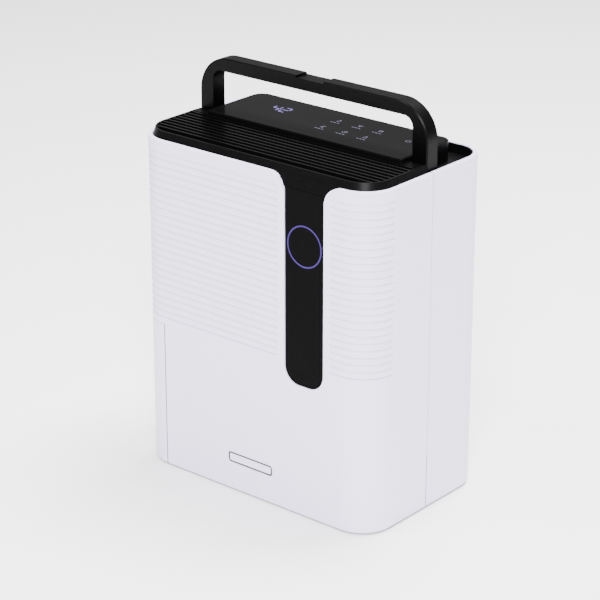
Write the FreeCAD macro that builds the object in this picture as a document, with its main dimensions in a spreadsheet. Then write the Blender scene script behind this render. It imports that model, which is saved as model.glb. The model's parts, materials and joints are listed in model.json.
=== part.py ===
import FreeCAD, Part
import math
import os
from types import SimpleNamespace

import Sketcher

# Compact compressor dehumidifier, 305 x 188 x 423 mm with its carrying handle up.
#
# Frame: millimetres, +Z up, front face towards -Y, origin on the floor under the middle of the
# body. The handle stands upright at rest and folds back into the recess behind the touch panel.
# The water tank slides out of the left end, towards -X.

# ---------------------------------------------------------------- driving dimensions
DIMENSIONS = {
    # body shell
    "body_width": 305.0,
    "body_depth": 188.0,
    "rim_height": 358.0,
    "ground_gap": 1.5,
    "corner_front": 36.0,
    "corner_rear": 32.0,
    "wall": 2.6,
    "rim_lip": 4.4,
    "rim_lip_height": 4.0,
    "base_chamfer": 2.2,
    "rim_round": 1.0,
    "seam_place": 0.8,
    "seam_gap": 0.8,
    "seam_joggle": 1.5,
    "seam_joggle_height": 60.0,
    "shadow_band": 8.0,
    "shadow_depth": 0.4,
    "part_gap": 0.3,
    # ribs moulded on the front
    "rib_count": 24.0,
    "rib_pitch": 7.4,
    "rib_depth": 0.95,
    "rib_base": 168.0,
    "rib_margin": 8.5,
    # glossy strip and light ring
    "strip_place": 70.6,
    "strip_width": 49.0,
    "strip_bottom": 143.5,
    "strip_corner": 18.0,
    "strip_drop": 12.0,
    "strip_recess": 1.0,
    "strip_plate": 2.2,
    "strip_flange": 3.0,
    "flare_radius": 20.0,
    "ring_height": 290.0,
    "ring_radius": 21.4,
    "ring_line": 1.4,
    "ring_proud": 0.2,
    # badge
    "badge_width": 59.0,
    "badge_height": 12.0,
    "badge_centre": 38.5,
    "badge_thickness": 0.8,
    # deck, touch panel and outlet grille
    "deck_wall": 1.2,
    "deck_floor": 3.2,
    "recess_drop": 9.8,
    "ridge_rise": 7.2,
    "ridge_inset": 7.6,
    "ridge_width": 1.8,
    "panel_leg_gap": 2.8,
    "panel_front": 79.7,
    "panel_rear": 24.2,
    "panel_rise": 11.5,
    "panel_corner": 13.0,
    "panel_front_corner": 3.0,
    "glass_thickness": 2.0,
    "glass_border": 1.5,
    "glass_gap": 0.15,
    "slat_count": 9.0,
    "slat_pitch": 7.2,
    "slat_thickness": 1.7,
    "slat_depth": 8.0,
    # handle
    "pivot_rise": 2.45,
    "handle_bar": 13.8,
    "handle_depth": 17.5,
    "handle_place": 7.75,
    "handle_leg": 17.8,
    "handle_side_gap": 1.0,
    "handle_outer_corner": 38.0,
    "handle_inner_corner": 11.0,
    "handle_gap": 0.8,
    "handle_swing_gap": 3.6,
    "boss_radius": 6.5,
    "pin_radius": 2.5,
    "bush_wall": 1.2,
    "running_gap": 0.06,
    "notch_width": 35.0,
    "notch_depth": 2.2,
    # tank bay and tank
    "tank_seam": 37.5,
    "tank_opening_height": 161.0,
    "tank_opening_rear": 32.0,
    "tank_gap": 0.9,
    "tank_wall": 2.2,
    "tank_length": 153.5,
    "tank_floor": 9.0,
    "tank_height": 137.0,
    "tank_front_gap": 8.0,
    "tank_rear_gap": 38.0,
    "tank_side_gap": 17.0,
    "tank_corner": 28.0,
    "tank_lid_height": 3.0,
    # base
    "tray_floor": 3.0,
    "tray_thickness": 4.0,
    "foot_radius": 9.0,
    # air path
    "fan_centre": 28.0,
    "fan_height": 243.0,
    "wheel_radius": 70.0,
    "wheel_width": 56.0,
    "blade_count": 36.0,
    "blade_depth": 11.0,
    "scroll_front": 10.0,
    "scroll_width": 72.0,
    "scroll_gap": 16.0,
    "scroll_wall": 2.0,
    "shaft_radius": 4.0,
    "motor_radius": 33.0,
    "motor_length": 34.0,
    "coil_length": 168.0,
    "coil_low": 168.0,
    "coil_height": 160.0,
    "evaporator_depth": 20.0,
    "condenser_depth": 18.0,
    "coil_gap": 4.0,
    "coil_rear_gap": 14.0,
    "tube_radius": 3.6,
    # refrigeration
    "compressor_radius": 48.0,
    "compressor_height": 132.0,
    "compressor_side_gap": 12.5,
    "pipe_radius": 4.0,
    # rear of the casing
    "window_width": 200.0,
    "window_height": 160.0,
    "window_low": 168.0,
    "filter_gap": 0.4,
    "spout_radius": 7.0,
    "spout_side": 42.5,
    "spout_height": 176.0,
    "gland_side": 40.5,
    "gland_height": 42.0,
    "gland_radius": 8.0,
    "screw_radius": 1.8,
    "screw_head": 3.4,
}

doc = FreeCAD.newDocument("dehumidifier")
sheet = doc.addObject("Spreadsheet::Sheet", "sizes")
for row, (alias, number) in enumerate(DIMENSIONS.items(), start=1):
    sheet.set(f"A{row}", alias.replace("_", " "))
    sheet.set(f"B{row}", str(number))
    sheet.setAlias(f"B{row}", alias)
doc.recompute()


class Size:
    """A length that holds both its formula over the sheet's cells and its present value."""

    def __init__(self, formula, value):
        self.formula = formula
        self.value = float(value)

    def combine(self, other, sign, value):
        return Size(f"({self.formula} {sign} {other.formula})", value)

    def __add__(self, other):
        other = as_size(other)
        return self.combine(other, "+", self.value + other.value)

    def __sub__(self, other):
        other = as_size(other)
        return self.combine(other, "-", self.value - other.value)

    def __mul__(self, other):
        other = as_size(other)
        return self.combine(other, "*", self.value * other.value)

    def __truediv__(self, other):
        other = as_size(other)
        return self.combine(other, "/", self.value / other.value)

    def __neg__(self):
        return as_size(0) - self

    def __radd__(self, other):
        return as_size(other) + self

    def __rsub__(self, other):
        return as_size(other) - self

    def __rmul__(self, other):
        return as_size(other) * self


def as_size(number):
    return number if isinstance(number, Size) else Size(f"{number:g}", number)


def tie(target, prop, size):
    """Binds a property to a formula over the sheet."""
    target.setExpression(prop, as_size(size).formula)


dim = SimpleNamespace(**{alias: Size(f"sizes.{alias}", float(sheet.get(alias))) for alias in DIMENSIONS})
COUNT = {alias: int(round(sheet.get(alias))) for alias in ("rib_count", "slat_count", "blade_count")}
nodes = []


def node(thing, label):
    """Marks an object as one piece of the product; its label names its file."""
    thing.Label = label
    nodes.append(thing)
    return thing


# ---------------------------------------------------------------- shape helpers
def block(name, low, high):
    """A box between two opposite corners."""
    box = doc.addObject("Part::Box", name)
    for prop, axis, start, end in zip(("Length", "Width", "Height"), "xyz", low, high):
        tie(box, prop, as_size(end) - start)
        tie(box, f"Placement.Base.{axis}", start)
    return box


TURNS = {
    "x": FreeCAD.Rotation(FreeCAD.Vector(0, 1, 0), 90),
    "y": FreeCAD.Rotation(FreeCAD.Vector(1, 0, 0), -90),
    "z": FreeCAD.Rotation(),
}


def rod(name, axis, start, radius, length):
    """A cylinder that starts at a point and runs along +x, +y or +z."""
    cylinder = doc.addObject("Part::Cylinder", name)
    tie(cylinder, "Radius", radius)
    tie(cylinder, "Height", length)
    cylinder.Placement = FreeCAD.Placement(FreeCAD.Vector(), TURNS[axis])
    for letter, place in zip("xyz", start):
        tie(cylinder, f"Placement.Base.{letter}", place)
    return cylinder


def fuse(name, *things):
    """One solid from several that touch or overlap."""
    if len(things) == 1:
        return things[0]
    joined = doc.addObject("Part::MultiFuse", name)
    joined.Shapes = list(things)
    joined.Refine = True
    return joined


def cut(name, base, *tools):
    """The base with every tool taken away."""
    trimmed = doc.addObject("Part::Cut", name)
    trimmed.Base = base
    trimmed.Tool = fuse(name + "_tools", *tools)
    trimmed.Refine = True
    return trimmed


def common(name, first, second):
    """What two things share."""
    shared = doc.addObject("Part::Common", name)
    shared.Base = first
    shared.Tool = second
    shared.Refine = True
    return shared


def group(name, things):
    """Separate solids that make one node, such as a set of equal screws."""
    together = doc.addObject("Part::Compound", name)
    together.Links = list(things)
    return together


def new_body(name):
    return doc.addObject("PartDesign::Body", name)


def new_sketch(body, name, role, offset=0):
    """A sketch on one of the body's own origin planes, moved along that plane's normal."""
    sketch = body.newObject("Sketcher::SketchObject", name)
    plane = next(item for item in body.Origin.OriginFeatures if item.Role == role)
    sketch.AttachmentSupport = [(plane, "")]
    sketch.MapMode = "FlatFace"
    tie(sketch, "AttachmentOffset.Base.z", offset)
    return sketch


def add_dimension(sketch, kind, arguments, size, name):
    """A named dimension, bound to its formula."""
    index = sketch.addConstraint(Sketcher.Constraint(kind, *arguments, as_size(size).value))
    sketch.renameConstraint(index, name)
    tie(sketch, f"Constraints.{name}", size)


def rounded_outline(sketch, left, right, low, high, low_radius, high_radius):
    """A rectangle whose two low corners share one radius and whose two high corners share another."""
    x0, x1, y0, y1 = (as_size(place).value for place in (left, right, low, high))
    r0, r1 = as_size(low_radius).value, as_size(high_radius).value
    point = FreeCAD.Vector
    corners = [
        (x1 - r0, y0 + r0, r0, -90),
        (x1 - r1, y1 - r1, r1, 0),
        (x0 + r1, y1 - r1, r1, 90),
        (x0 + r0, y0 + r0, r0, 180),
    ]
    sides = [
        (point(x0 + r0, y0), point(x1 - r0, y0)),
        (point(x1, y0 + r0), point(x1, y1 - r1)),
        (point(x1 - r1, y1), point(x0 + r1, y1)),
        (point(x0, y1 - r1), point(x0, y0 + r0)),
    ]
    for (start, end), (cx, cy, radius, turn) in zip(sides, corners):
        sketch.addGeometry(Part.LineSegment(start, end), False)
        circle = Part.Circle(point(cx, cy), point(0, 0, 1), radius)
        sketch.addGeometry(Part.ArcOfCircle(circle, math.radians(turn), math.radians(turn + 90)), False)
    for line in (0, 2, 4, 6):
        arc = line + 1
        following = (line + 2) % 8
        sketch.addConstraint(Sketcher.Constraint("Tangent", line, 2, arc, 1))
        sketch.addConstraint(Sketcher.Constraint("Tangent", arc, 2, following, 1))
    for line, kind in ((0, "Horizontal"), (2, "Vertical"), (4, "Horizontal"), (6, "Vertical")):
        sketch.addConstraint(Sketcher.Constraint(kind, line))
    sketch.addConstraint(Sketcher.Constraint("Equal", 1, 7))
    sketch.addConstraint(Sketcher.Constraint("Equal", 3, 5))
    add_dimension(sketch, "Radius", (1,), low_radius, "low_radius")
    add_dimension(sketch, "Radius", (3,), high_radius, "high_radius")
    add_dimension(sketch, "DistanceX", (-1, 1, 6, 1), left, "left")
    add_dimension(sketch, "DistanceX", (-1, 1, 2, 1), right, "right")
    add_dimension(sketch, "DistanceY", (-1, 1, 0, 1), low, "low")
    add_dimension(sketch, "DistanceY", (-1, 1, 4, 1), high, "high")


def polygon(sketch, points):
    """A closed outline of straight sides; each corner is placed by two dimensions."""
    spots = [FreeCAD.Vector(as_size(x).value, as_size(y).value) for x, y in points]
    count = len(points)
    for index in range(count):
        sketch.addGeometry(Part.LineSegment(spots[index], spots[(index + 1) % count]), False)
    for index in range(count):
        sketch.addConstraint(Sketcher.Constraint("Coincident", index, 2, (index + 1) % count, 1))
    for index, (x, y) in enumerate(points):
        add_dimension(sketch, "DistanceX", (-1, 1, index, 1), x, f"across_{index}")
        add_dimension(sketch, "DistanceY", (-1, 1, index, 1), y, f"along_{index}")


def pad(body, sketch, length, back=False):
    feature = body.newObject("PartDesign::Pad", sketch.Name + "_pad")
    feature.Profile = sketch
    tie(feature, "Length", length)
    feature.Reversed = back
    sketch.Visibility = False
    return feature


def pocket(body, sketch, depth, back=False):
    feature = body.newObject("PartDesign::Pocket", sketch.Name + "_pocket")
    feature.Profile = sketch
    tie(feature, "Length", depth)
    feature.Reversed = back
    sketch.Visibility = False
    return feature


def slab(name, left, right, front, rear, front_radius, rear_radius, low, high):
    """An upright prism on a rounded rectangle."""
    body = new_body(name)
    sketch = new_sketch(body, name + "_outline", "XY_Plane", low)
    rounded_outline(sketch, left, right, front, rear, front_radius, rear_radius)
    pad(body, sketch, as_size(high) - low)
    return body


def edges_where(shape, test):
    """Names of the edges whose every point passes a test."""
    found = []
    for index, edge in enumerate(shape.Edges, start=1):
        box = edge.BoundBox
        if test(box, edge):
            found.append(f"Edge{index}")
    return found


def soften(body, kind, size_name, size, test):
    """A fillet or chamfer on the edges that pass a test."""
    doc.recompute()
    base = body.Tip
    feature = body.newObject(f"PartDesign::{kind}", f"{body.Name}_{kind.lower()}")
    feature.Base = (base, edges_where(base.Shape, test))
    tie(feature, size_name, size)
    return feature


def pipe(name, points, radius, bend):
    """A round tube along straight runs joined by tangent arcs of one bend radius."""
    spots = [FreeCAD.Vector(*(as_size(value).value for value in spot)) for spot in points]
    edges = []
    start = spots[0]
    for before, corner, after in zip(spots, spots[1:], spots[2:]):
        arriving = (corner - before).normalize()
        leaving = (after - corner).normalize()
        turn = arriving.getAngle(leaving)
        reach = bend * math.tan(turn / 2)
        enter = corner - arriving * reach
        leave = corner + leaving * reach
        inward = (leaving - arriving).normalize()
        centre = corner + inward * (bend / math.cos(turn / 2))
        middle = centre - inward * bend
        edges.append(Part.LineSegment(start, enter).toShape())
        edges.append(Part.Arc(enter, middle, leave).toShape())
        start = leave
    edges.append(Part.LineSegment(start, spots[-1]).toShape())
    path = Part.Wire(edges)
    along = spots[1] - spots[0]
    section = Part.Wire(Part.Circle(spots[0], along, as_size(radius).value).toShape())
    tube = doc.addObject("Part::Feature", name)
    tube.Shape = path.makePipeShell([section], True, True)
    return tube


# ---------------------------------------------------------------- shared places
half_width = dim.body_width / 2
half_depth = dim.body_depth / 2
rim = dim.rim_height
inner_x = half_width - dim.wall
inner_y = half_depth - dim.wall
strip_left = dim.strip_place - dim.strip_width / 2
strip_right = dim.strip_place + dim.strip_width / 2
strip_top = rim - dim.strip_drop
recess_floor = rim - dim.recess_drop
deck_low = recess_floor - dim.deck_floor
ridge = rim + dim.ridge_rise
deck_inset = dim.rim_lip + dim.part_gap
recess_inset = deck_inset + dim.deck_wall
grille_inset = dim.ridge_inset + dim.ridge_width
panel_y0 = dim.panel_front - half_depth
panel_y1 = half_depth - dim.panel_rear
panel_top = rim + dim.panel_rise
housing_top = panel_top - dim.glass_thickness
handle_x = half_width - recess_inset - dim.handle_side_gap
handle_inner_x = handle_x - dim.handle_leg
panel_x = handle_inner_x - dim.panel_leg_gap
leg_front = dim.handle_place - dim.handle_depth / 2
leg_rear = dim.handle_place + dim.handle_depth / 2
# folded back, the legs lie just above the recess floor and the bar just behind the panel
pivot_z = recess_floor + dim.pivot_rise
pivot_y = recess_floor + dim.handle_gap + leg_rear - pivot_z
bar_low = pivot_z + panel_y1 + dim.handle_swing_gap - pivot_y
handle_top = bar_low + dim.handle_bar
recess_front = leg_front - 1.5
spout_x = half_width - dim.spout_side
gland_x = half_width - dim.gland_side
seam_front = dim.seam_place - dim.seam_gap / 2
seam_rear = dim.seam_place + dim.seam_gap / 2
far = 400


def shell_outline(name, inset, low, high, body_corner_trim=0):
    """A prism on the body's outline moved in by an inset."""
    return slab(
        name,
        -half_width + inset,
        half_width - inset,
        -half_depth + inset,
        half_depth - inset,
        dim.corner_front - inset,
        dim.corner_rear - inset,
        low,
        high,
    )


# ---------------------------------------------------------------- white casing
def make_shell_blank():
    """The whole outer skin before it is divided into front, rear and tank cover."""
    body = shell_outline("shell_blank", as_size(0), dim.ground_gap, rim)
    soften(
        body, "Chamfer", "Size", dim.base_chamfer, lambda box, edge: box.ZMax < dim.ground_gap.value + 0.01
    )
    soften(body, "Fillet", "Radius", dim.rim_round, lambda box, edge: box.ZMin > rim.value - 0.01)
    inside = new_sketch(body, "shell_inside", "XY_Plane", dim.ground_gap)
    rounded_outline(
        inside, -inner_x, inner_x, -inner_y, inner_y, dim.corner_front - dim.wall, dim.corner_rear - dim.wall
    )
    pocket(body, inside, rim - dim.ground_gap - dim.rim_lip_height, back=True)
    mouth = new_sketch(body, "shell_mouth", "XY_Plane", rim)
    rounded_outline(
        mouth,
        dim.rim_lip - half_width,
        half_width - dim.rim_lip,
        dim.rim_lip - half_depth,
        half_depth - dim.rim_lip,
        dim.corner_front - dim.rim_lip,
        dim.corner_rear - dim.rim_lip,
    )
    pocket(body, mouth, dim.rim_lip_height + 1)
    return body


def strip_opening(name, gap, low_y, high_y):
    """The space of the glossy strip: round-cornered at its foot, flared into the rim at its head."""
    body = new_body(name)
    sketch = new_sketch(body, name + "_outline", "XZ_Plane", -as_size(high_y))
    rounded_outline(
        sketch,
        strip_left + gap,
        strip_right - gap,
        dim.strip_bottom + gap,
        rim + 20,
        dim.strip_corner - gap,
        as_size(1),
    )
    pad(body, sketch, as_size(high_y) - low_y)
    flare = dim.flare_radius
    parts = [body]
    for side, edge, outward in (("left", strip_left, -1), ("right", strip_right, 1)):
        centre_x = edge + outward * flare
        if outward < 0:
            corner_low, corner_high = centre_x, edge + 1
        else:
            corner_low, corner_high = edge - 1, centre_x
        corner = block(
            f"{name}_{side}", (corner_low, low_y, rim - flare + gap), (corner_high, high_y, rim + 20)
        )
        round_part = rod(
            f"{name}_{side}_round",
            "y",
            (centre_x, low_y - 1, rim - flare),
            flare + gap,
            as_size(high_y) - low_y + 2,
        )
        parts.append(cut(f"{name}_{side}_flare", corner, round_part))
    return fuse(name + "_space", *parts)


def badge_block(name, grow, low_y, high_y):
    """The round-cornered plate low on the front, or the seat it lies in."""
    body = new_body(name)
    sketch = new_sketch(body, name + "_outline", "XZ_Plane", -as_size(high_y))
    rounded_outline(
        sketch,
        -dim.badge_width / 2 - grow,
        dim.badge_width / 2 + grow,
        dim.badge_centre - dim.badge_height / 2 - grow,
        dim.badge_centre + dim.badge_height / 2 + grow,
        grow + 3.5,
        grow + 3.5,
    )
    pad(body, sketch, as_size(high_y) - low_y)
    return body


def rib_cutter(side):
    """Takes the front between shallow cylinders, so that convex bands with sharp creases stay."""
    outward = 1 if side == "right" else -1
    pitch = dim.rib_pitch.value
    depth = dim.rib_depth.value
    crest = 0.05
    front = -half_depth.value
    radius = (pitch / 2) ** 2 / (2 * depth) + depth / 2
    base = dim.rib_base.value
    edges = []
    for index in range(COUNT["rib_count"]):
        low = base + index * pitch
        start = FreeCAD.Vector(0, front + crest + depth, low)
        middle = FreeCAD.Vector(0, front + crest, low + pitch / 2)
        end = FreeCAD.Vector(0, front + crest + depth, low + pitch)
        edges.append(Part.Arc(start, middle, end).toShape())
    top = base + COUNT["rib_count"] * pitch
    outside = front - 2
    corners = [
        FreeCAD.Vector(0, front + crest + depth, top),
        FreeCAD.Vector(0, outside, top),
        FreeCAD.Vector(0, outside, base),
        FreeCAD.Vector(0, front + crest + depth, base),
    ]
    for start, end in zip(corners, corners[1:]):
        edges.append(Part.LineSegment(start, end).toShape())
    profile = Part.Face(Part.Wire(edges))
    centre_x = outward * (half_width.value - dim.corner_front.value)
    near_x = (
        strip_right.value + dim.rib_margin.value
        if outward > 0
        else strip_left.value - dim.rib_margin.value
    )
    profile.translate(FreeCAD.Vector(centre_x, 0, 0))
    straight = profile.extrude(FreeCAD.Vector(near_x - centre_x, 0, 0))
    axis_point = FreeCAD.Vector(centre_x, front + dim.corner_front.value, 0)
    corner = profile.revolve(axis_point, FreeCAD.Vector(0, 0, 1), outward * 90)
    tool = doc.addObject("Part::Feature", f"rib_cutter_{side}")
    tool.Shape = straight.fuse(corner).removeSplitter()
    return tool


def make_casings():
    shell = make_shell_blank()
    joggle = seam_front - dim.seam_joggle
    upper_front = block(
        "front_region_upper", (-far, -far, dim.seam_joggle_height), (far, seam_front, far + 50)
    )
    lower_front = block("front_region_lower", (-far, -far, -10), (far, joggle, dim.seam_joggle_height))
    front_half = common("front_half", shell, fuse("front_region", upper_front, lower_front))
    rear_low = seam_rear - dim.seam_joggle
    upper_rear = block("rear_region_upper", (-far, seam_rear, dim.seam_joggle_height), (far, far, far + 50))
    lower_rear = block("rear_region_lower", (-far, rear_low, -10), (far, far, dim.seam_joggle_height))
    rear_half = common("rear_half", shell, fuse("rear_region", upper_rear, lower_rear))
    opening_x = -half_width + dim.tank_seam
    opening_y = half_depth - dim.tank_opening_rear
    tank_opening = block("tank_opening", (-far, -far, -10), (opening_x, opening_y, dim.tank_opening_height))
    front = cut(
        "front_shell",
        front_half,
        strip_opening("strip_hole", as_size(0), -half_depth - 5, -half_depth + 12),
        tank_opening,
        rib_cutter("left"),
        rib_cutter("right"),
        badge_block("badge_seat", as_size(0.35), -half_depth - 2, dim.badge_thickness - half_depth),
    )
    node(front, "front_casing")
    # the intake window, the drain and cord holes, and the shallow band beside the seam
    window_x = -dim.fan_centre
    window = slab(
        "intake_window",
        window_x - dim.window_width / 2,
        window_x + dim.window_width / 2,
        half_depth - 10,
        half_depth + 10,
        as_size(1),
        as_size(1),
        dim.window_low,
        dim.window_low + dim.window_height,
    )
    spout_hole = rod(
        "spout_hole", "y", (spout_x, half_depth - 10, dim.spout_height), dim.spout_radius + 2, 20
    )
    gland_hole = rod(
        "gland_hole", "y", (gland_x, half_depth - 10, dim.gland_height), dim.gland_radius + dim.part_gap, 20
    )
    band_outer = block(
        "band_space", (-far, seam_rear - 3, -10), (far, seam_rear + dim.shadow_band, far + 50)
    )
    band_core = shell_outline("band_core", dim.shadow_depth, as_size(-20), as_size(far + 60))
    band = cut("shadow_band_cut", band_outer, band_core)
    rear = cut("rear_shell", rear_half, tank_opening_copy(), window, spout_hole, gland_hole, band)
    node(rear, "rear_casing")
    cover_region = block(
        "tank_cover_region",
        (-far, -far, -10),
        (opening_x - dim.tank_gap, opening_y - dim.tank_gap, dim.tank_opening_height - dim.tank_gap),
    )
    cover_skin = common("tank_cover_skin", shell, cover_region)
    grip_low, grip_high = 84, 112
    grip_y = 32
    grip_hole = block(
        "grip_hole", (-half_width - 1, -grip_y, grip_low), (-half_width + dim.wall + 1, grip_y, grip_high)
    )
    cup_outer = block(
        "grip_cup_outer",
        (-inner_x - dim.wall / 2, -grip_y - 2, grip_low - 2),
        (-inner_x + 13, grip_y + 2, grip_high + 2),
    )
    cup_inner = block(
        "grip_cup_inner", (-half_width - 1, -grip_y, grip_low), (-inner_x + 11, grip_y, grip_high)
    )
    cover = cut("tank_cover_shape", fuse("tank_cover_whole", cover_skin, cup_outer), grip_hole, cup_inner)
    node(cover, "tank_cover")


def tank_opening_copy():
    """The same opening again, for the rear half of the casing."""
    opening_x = -half_width + dim.tank_seam
    opening_y = half_depth - dim.tank_opening_rear
    return block(
        "tank_opening_rear_part", (-far, -far, -10), (opening_x, opening_y, dim.tank_opening_height)
    )


make_casings()


# ---------------------------------------------------------------- base and feet
def make_base():
    top = dim.tray_floor + dim.tray_thickness
    plate = shell_outline("tray_plate", dim.wall + dim.part_gap, dim.tray_floor, top)
    kerb_x = -half_width + dim.tank_side_gap + dim.tank_length + 3
    stop = block(
        "tray_stop",
        (kerb_x, -half_depth + 14, dim.tray_floor + 1),
        (kerb_x + 2.4, half_depth - 30, top + 12),
    )
    rails = []
    for index, place in enumerate(
        (dim.tank_front_gap - half_depth + 20, half_depth - dim.tank_rear_gap - 20)
    ):
        rails.append(
            block(
                f"tray_rail_{index}",
                (-half_width + 10, place - 2, dim.tray_floor + 1),
                (kerb_x - 4, place + 2, dim.tank_floor - 0.4),
            )
        )
    node(fuse("tray_shape", plate, stop, *rails), "base_tray")
    feet = []
    for side in (-1, 1):
        for end in (-1, 1):
            spot = (side * (half_width - 34), end * (half_depth - 32), as_size(0))
            feet.append(rod(f"foot_{side + 1}_{end + 1}", "z", spot, dim.foot_radius, dim.tray_floor))
    node(group("feet_set", feet), "rubber_feet")


make_base()


# ---------------------------------------------------------------- deck, panel and grille
def make_deck():
    floor = shell_outline("deck_plate", deck_inset, deck_low, rim - 0.6)
    hollow = shell_outline("deck_hollow", recess_inset, recess_floor, rim + 30)
    hollow_rear = common(
        "deck_recess", hollow, block("deck_recess_region", (-far, recess_front, 0), (far, far, far + 50))
    )
    tub = cut("deck_tub", floor, hollow_rear)
    # front frame: upright foot, then a slope up to a narrow ridge
    frame_body = new_body("deck_frame")
    foot = new_sketch(frame_body, "frame_foot", "XY_Plane", rim - 0.6)
    crest = new_sketch(frame_body, "frame_crest", "XY_Plane", ridge)
    for sketch, inset in ((foot, deck_inset), (crest, dim.ridge_inset)):
        rounded_outline(
            sketch,
            inset - half_width,
            half_width - inset,
            inset - half_depth,
            half_depth - inset,
            dim.corner_front - inset,
            dim.corner_rear - inset,
        )
    slope = frame_body.newObject("PartDesign::AdditiveLoft", "frame_slope")
    slope.Profile = foot
    slope.Sections = [crest]
    slope.Ruled = True
    frame = common(
        "deck_front_frame",
        frame_body,
        block("deck_front_region", (-far, -far, 0), (far, recess_front, far + 50)),
    )
    air_path = common(
        "deck_air_path",
        shell_outline("deck_air_outline", as_size(grille_inset), deck_low - 5, ridge + 10),
        block("deck_air_region", (-far, -far, 0), (far, panel_y0 - 0.01, far + 50)),
    )
    island = slab(
        "panel_housing_block",
        -panel_x,
        panel_x,
        panel_y0,
        panel_y1,
        dim.panel_front_corner,
        dim.panel_corner,
        deck_low,
        panel_top - 0.25,
    )
    soften(island, "Chamfer", "Size", as_size(0.6), lambda box, edge: box.ZMin > panel_top.value - 0.26)
    border = dim.glass_border - dim.glass_gap
    glass_seat = slab(
        "panel_glass_seat",
        border - panel_x,
        panel_x - border,
        panel_y0 - 3,
        panel_y1 - border,
        as_size(1),
        dim.panel_corner - border,
        housing_top,
        panel_top + 2,
    )
    island_hollow = slab(
        "panel_housing_hollow",
        2.5 - panel_x,
        panel_x - 2.5,
        panel_y0 + 2.5,
        panel_y1 - 2.5,
        as_size(1),
        dim.panel_corner - 2.5,
        deck_low - 1,
        housing_top - 2,
    )
    sumps = []
    sump_spaces = []
    pin_holes = []
    sump_reach = dim.boss_radius + 1
    for side, low_x, high_x in (
        ("right", panel_x, half_width - recess_inset),
        ("left", recess_inset - half_width, -panel_x),
    ):
        sumps.append(
            block(
                f"sump_{side}",
                (low_x - 1.2, pivot_y - sump_reach - 1.6, pivot_z - sump_reach - 1.6),
                (high_x + 1.2, pivot_y + sump_reach + 1.6, recess_floor - 1),
            )
        )
        sump_spaces.append(
            block(
                f"sump_space_{side}",
                (low_x + 0.6, pivot_y - sump_reach, pivot_z - sump_reach),
                (high_x, pivot_y + sump_reach, recess_floor + 1),
            )
        )
        hole_start = panel_x - 6 if side == "right" else -panel_x - 2
        pin_holes.append(
            rod(f"pin_hole_{side}", "x", (hole_start, pivot_y, pivot_z), dim.pin_radius, 8)
        )
    # apron: the black slope between the head of the strip and the front frame
    apron_body = new_body("apron_body")
    apron_sketch = new_sketch(apron_body, "apron_profile", "YZ_Plane", strip_left - dim.flare_radius)
    polygon(
        apron_sketch,
        [
            (1.0 - half_depth, strip_top + dim.part_gap),
            (deck_inset - half_depth, rim),
            (recess_inset - half_depth + 1, rim),
            (recess_inset - half_depth + 1, strip_top + dim.part_gap),
        ],
    )
    pad(apron_body, apron_sketch, dim.strip_width + 2 * dim.flare_radius)
    apron = common(
        "apron_shape",
        apron_body,
        strip_opening("apron_space", dim.part_gap, -half_depth - 5, -half_depth + 12),
    )
    screw_holes = []
    for index, (x, y) in enumerate(deck_screw_places()):
        screw_holes.append(rod(f"deck_screw_hole_{index}", "z", (x, y, deck_low - 2), dim.screw_radius, 12))
    slot = block(
        "recess_slot",
        (panel_x + 4, panel_y1 + 4, deck_low - 1),
        (panel_x + 11, panel_y1 + 6.5, recess_floor + 1),
    )
    solid = fuse("deck_solid", tub, frame, island, *sumps, apron)
    deck = cut(
        "deck_shape",
        solid,
        air_path,
        island_hollow,
        glass_seat,
        *sump_spaces,
        *pin_holes,
        *screw_holes,
        slot,
    )
    node(deck, "top_deck")
    glass_body = slab(
        "panel_glass_body",
        dim.glass_border - panel_x,
        panel_x - dim.glass_border,
        panel_y0,
        panel_y1 - dim.glass_border,
        dim.panel_front_corner,
        dim.panel_corner - dim.glass_border,
        housing_top,
        panel_top,
    )
    soften(glass_body, "Chamfer", "Size", as_size(0.5), lambda box, edge: box.ZMin > panel_top.value - 0.01)
    node(glass_body, "panel_glass")


def deck_screw_places():
    """Screws that hold the deck to the casing, in the floor of the recess."""
    x = half_width - recess_inset - 9
    rear = half_depth - recess_inset - 12
    return [(-x, rear), (x, rear - 14), (as_size(-60), rear + 2), (as_size(60), rear + 2)]


make_deck()


def make_grille():
    slat_inset = grille_inset + dim.part_gap
    space = shell_outline("grille_space", slat_inset, ridge - 14, ridge - 0.2)
    slats = []
    top = ridge - 0.2
    for index in range(COUNT["slat_count"]):
        rear = panel_y0 - 1.4 - index * dim.slat_pitch
        slats.append(
            block(
                f"slat_{index}",
                (-half_width, rear - dim.slat_thickness, top - dim.slat_depth),
                (half_width, rear, top),
            )
        )
    for index in range(7):
        x = (index - 3) * 40
        slats.append(
            block(
                f"slat_tie_{index}",
                (as_size(x) - 0.8, -half_depth + slat_inset, top - 11),
                (as_size(x) + 0.8, panel_y0 - dim.part_gap, top - 3.5),
            )
        )
    rim_ring = cut(
        "grille_ring",
        shell_outline("grille_ring_outer", slat_inset, top - 12, top - 8.5),
        shell_outline("grille_ring_inner", slat_inset + 2.4, top - 13, top - 7),
    )
    rear_bar = block(
        "grille_rear_bar",
        (-half_width, panel_y0 - dim.part_gap - 2.0, top - 12),
        (half_width, panel_y0 - dim.part_gap, top - 8.5),
    )
    whole = fuse("grille_whole", *slats, rim_ring, rear_bar)
    region = common(
        "grille_region",
        space,
        block("grille_front_region", (-far, -far, 0), (far, panel_y0 - dim.part_gap, far + 50)),
    )
    node(common("grille_shape", whole, region), "outlet_grille")


make_grille()


def make_panel_inside():
    """Touch board and two-digit display, under the glass."""
    top = housing_top - 2
    board = block(
        "touch_board_shape",
        (-panel_x + 6, panel_y0 + 8, top - 3.4),
        (panel_x - 6, panel_y1 - 16, top - 1.8),
    )
    node(board, "touch_board")
    display = block(
        "display_shape", (-panel_x + 22, panel_y0 + 20, top - 1.8), (-panel_x + 62, panel_y0 + 48, top)
    )
    node(display, "display_module")


make_panel_inside()


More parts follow.
